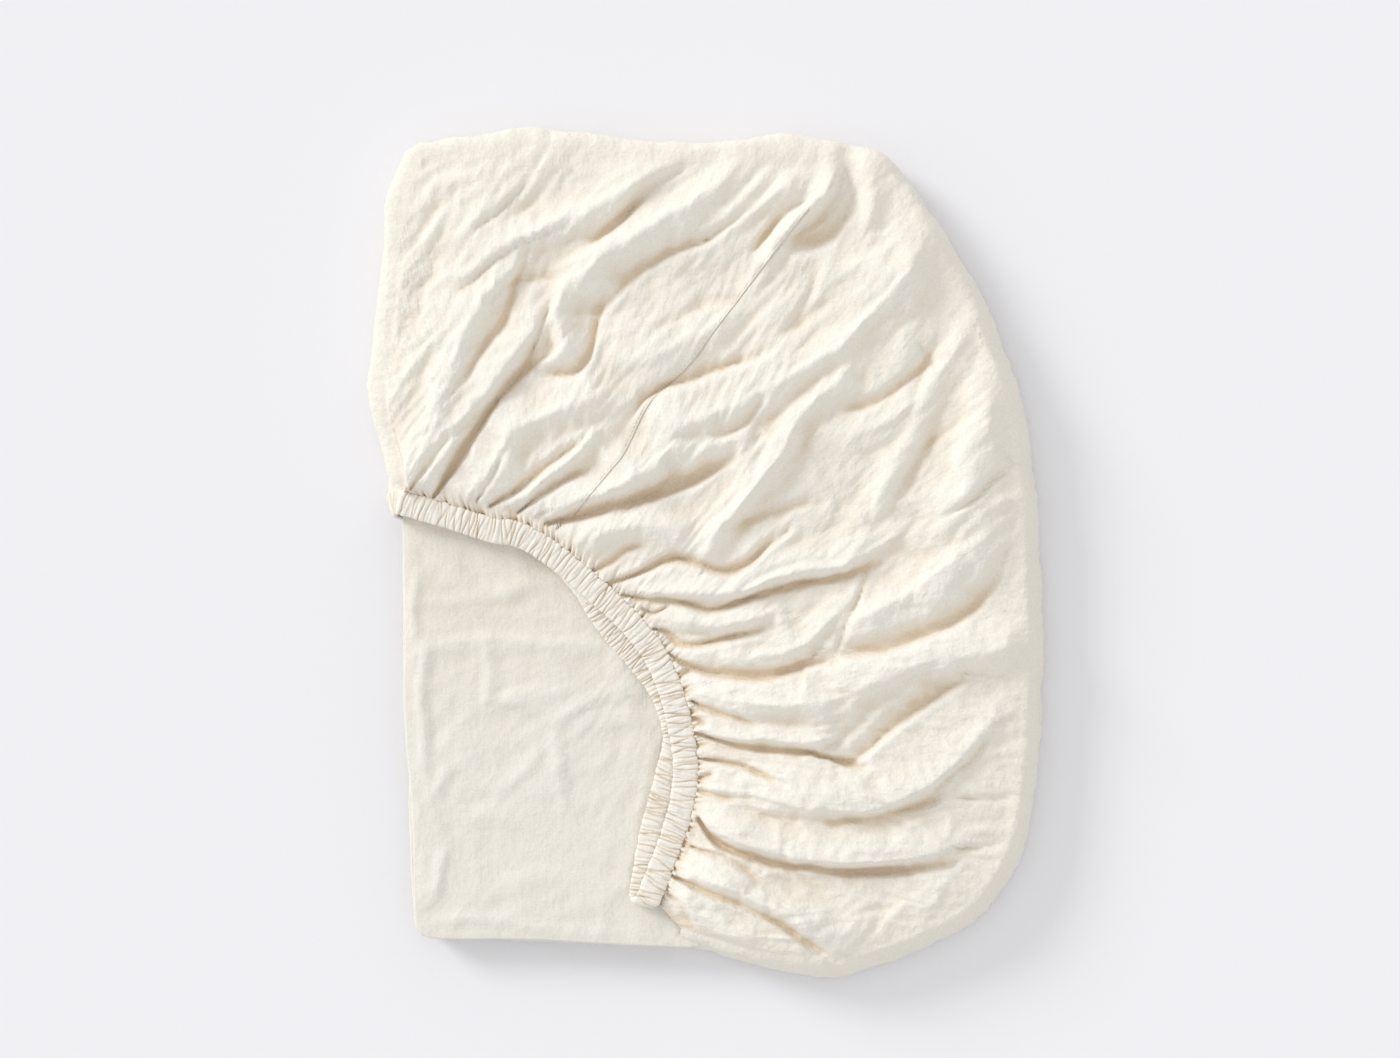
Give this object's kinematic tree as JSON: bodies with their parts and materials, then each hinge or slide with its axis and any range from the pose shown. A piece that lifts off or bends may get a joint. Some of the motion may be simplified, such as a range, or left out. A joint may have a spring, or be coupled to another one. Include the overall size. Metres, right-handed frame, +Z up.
{
  "type": "folded fitted cot sheet",
  "caption": "Fitted cot sheet of plain crinkled cloth, folded flat, one corner pocket lying over the pile with its mouth gathered by an elastic casing.",
  "frame": {"origin": "on the surface that the pile lies on, under the centre of its box", "axes": "+X to the pocket's side of the pile, +Y along the pile to the pocket's far edge, +Z up out of the surface"},
  "size_m": [0.339, 0.4269, 0.0335],
  "materials": {
    "cotton_cloth": "unbleached ivory plain weave, washed and crinkled, matte",
    "casing_cloth": "the same ivory plain weave, gathered tightly over flat elastic, matte"
  },
  "bodies": {
    "root": {"sheet": "cotton_cloth", "elastic_casing": "casing_cloth"}
  },
  "joints": []
}
